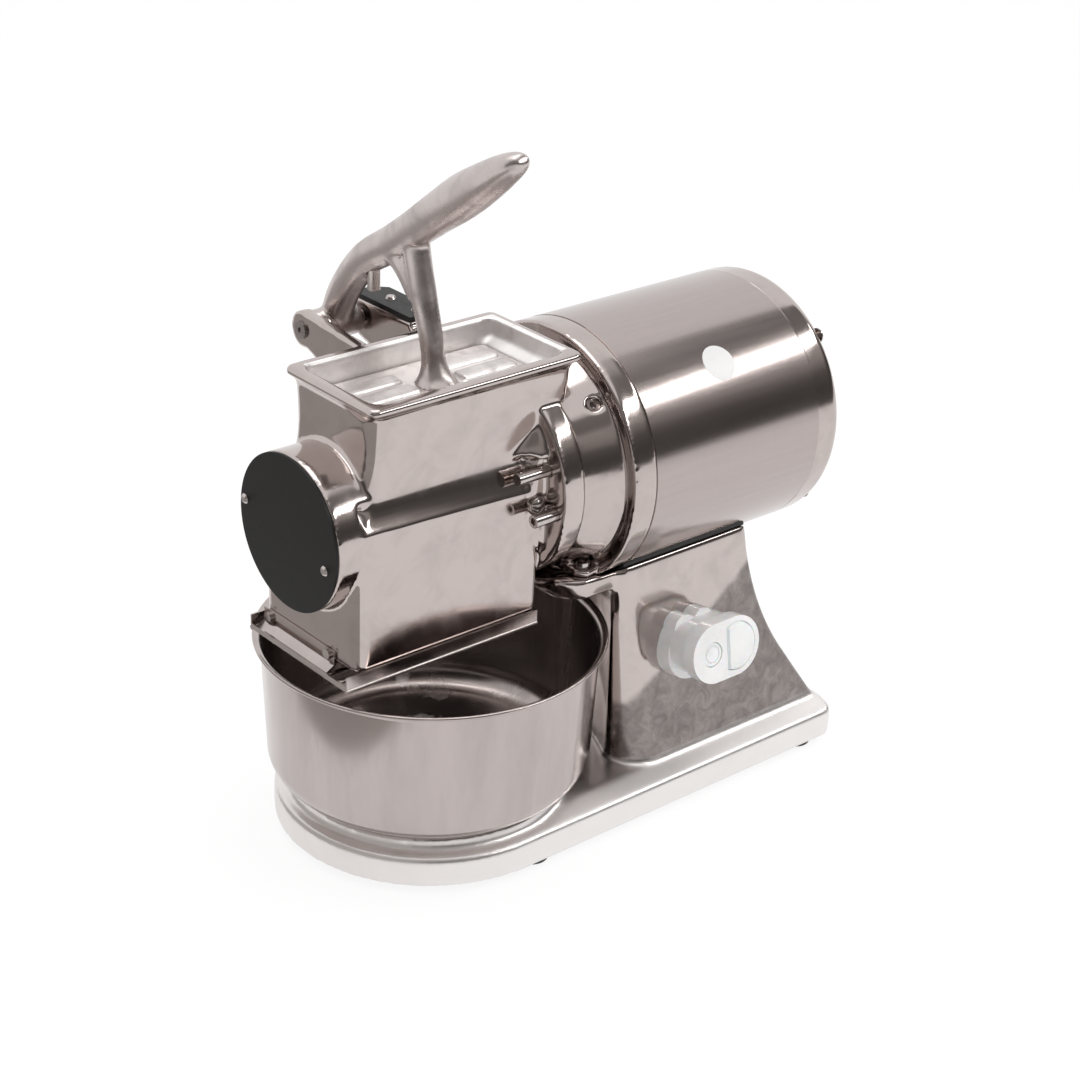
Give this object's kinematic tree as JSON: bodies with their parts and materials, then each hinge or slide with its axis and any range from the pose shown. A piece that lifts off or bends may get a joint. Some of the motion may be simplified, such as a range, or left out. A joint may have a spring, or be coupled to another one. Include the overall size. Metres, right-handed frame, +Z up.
{
  "type": "electric cheese grater",
  "caption": "Electric cheese grater: pedestal base, horizontal motor, grating drum in a cast head with hopper, hand lever with presser block, bowl and push-button switch.",
  "frame": {"origin": "on the floor plane at the underside of the feet, in the middle of the machine's length and width", "axes": "+X along the motor from the bowl to the rear, +Y to the side of the lever's hinge, +Z up"},
  "size_m": [0.3866, 0.2232, 0.4581],
  "materials": {
    "cast_aluminium": "polished casting",
    "brushed_casing": "brushed along the sheet",
    "polished_steel": "polished sheet",
    "screw_steel": "bright zinc",
    "machined_steel": "machined",
    "drum_steel": "punched sheet",
    "galvanised_sheet": "galvanised",
    "lamination_steel": "dark oxide",
    "copper_winding": "enamelled wire",
    "bronze_bush": "turned",
    "black_plastic": "satin black",
    "dark_plastic": "moulded",
    "grey_plastic": "pale translucent cover",
    "button_plastic": "pale moulded",
    "white_can": "plastic can",
    "black_rubber": "moulded"
  },
  "bodies": {
    "machine": {"base_casting": "cast_aluminium", "bottom_cover": "galvanised_sheet", "cover_screws": "screw_steel", "feet": "black_rubber", "foot_screws": "screw_steel", "cable_gland": "dark_plastic", "capacitor": "white_can", "capacitor_clamp": "galvanised_sheet", "motor_gasket": "black_rubber", "motor_screws": "screw_steel", "front_flange": "cast_aluminium", "neck_screw": "screw_steel", "motor_casing": "brushed_casing", "rear_cap": "cast_aluminium", "tie_rods": "screw_steel", "stator_core": "lamination_steel", "stator_windings": "copper_winding", "front_bearing": "machined_steel", "rear_bearing": "machined_steel", "head_casting": "cast_aluminium", "head_bolts": "screw_steel", "locking_screws": "screw_steel", "shaft_seal": "black_rubber", "front_disc": "black_plastic", "disc_screws": "screw_steel", "disc_bush": "bronze_bush", "outlet_guard": "polished_steel", "guard_pins": "screw_steel", "hinge_pin": "machined_steel", "safety_switch": "dark_plastic", "sensor_lid": "black_plastic", "lid_screws": "screw_steel", "switch_housing": "grey_plastic"},
    "rotor": {"motor_shaft": "machined_steel", "rotor_core": "lamination_steel", "cooling_fan": "dark_plastic", "grating_drum": "drum_steel", "drum_ends": "cast_aluminium", "drum_nut": "machined_steel"},
    "lever": {"lever_arm": "cast_aluminium", "presser": "cast_aluminium", "presser_screw": "screw_steel", "magnet_holder": "screw_steel"},
    "bowl": {"bowl": "polished_steel"},
    "start_button": {"start_button": "button_plastic"},
    "stop_button": {"stop_button": "button_plastic"}
  },
  "joints": [
    {"name": "drum_spin", "type": "hinge", "parent": "machine", "child": "rotor", "pos_m": [-0.0817, 0, 0.2293], "axis": [1, 0, 0], "continuous": true},
    {"name": "lever_hinge", "type": "hinge", "parent": "machine", "child": "lever", "pos_m": [-0.084, 0.099, 0.306], "axis": [-1, 0, 0], "range_deg": [0, 75]},
    {"name": "bowl_slide", "type": "slide", "parent": "machine", "child": "bowl", "axis": [-1, 0, 0], "range_m": [0, 0.23]},
    {"name": "start_press", "type": "slide", "parent": "machine", "child": "start_button", "axis": [0, 0.9864, -0.1644], "range_m": [0, 0.003], "stiffness_N_per_m": 700, "springref_m": -0.002},
    {"name": "stop_press", "type": "slide", "parent": "machine", "child": "stop_button", "axis": [0, 0.9864, -0.1644], "range_m": [0, 0.003], "stiffness_N_per_m": 700, "springref_m": -0.002}
  ]
}
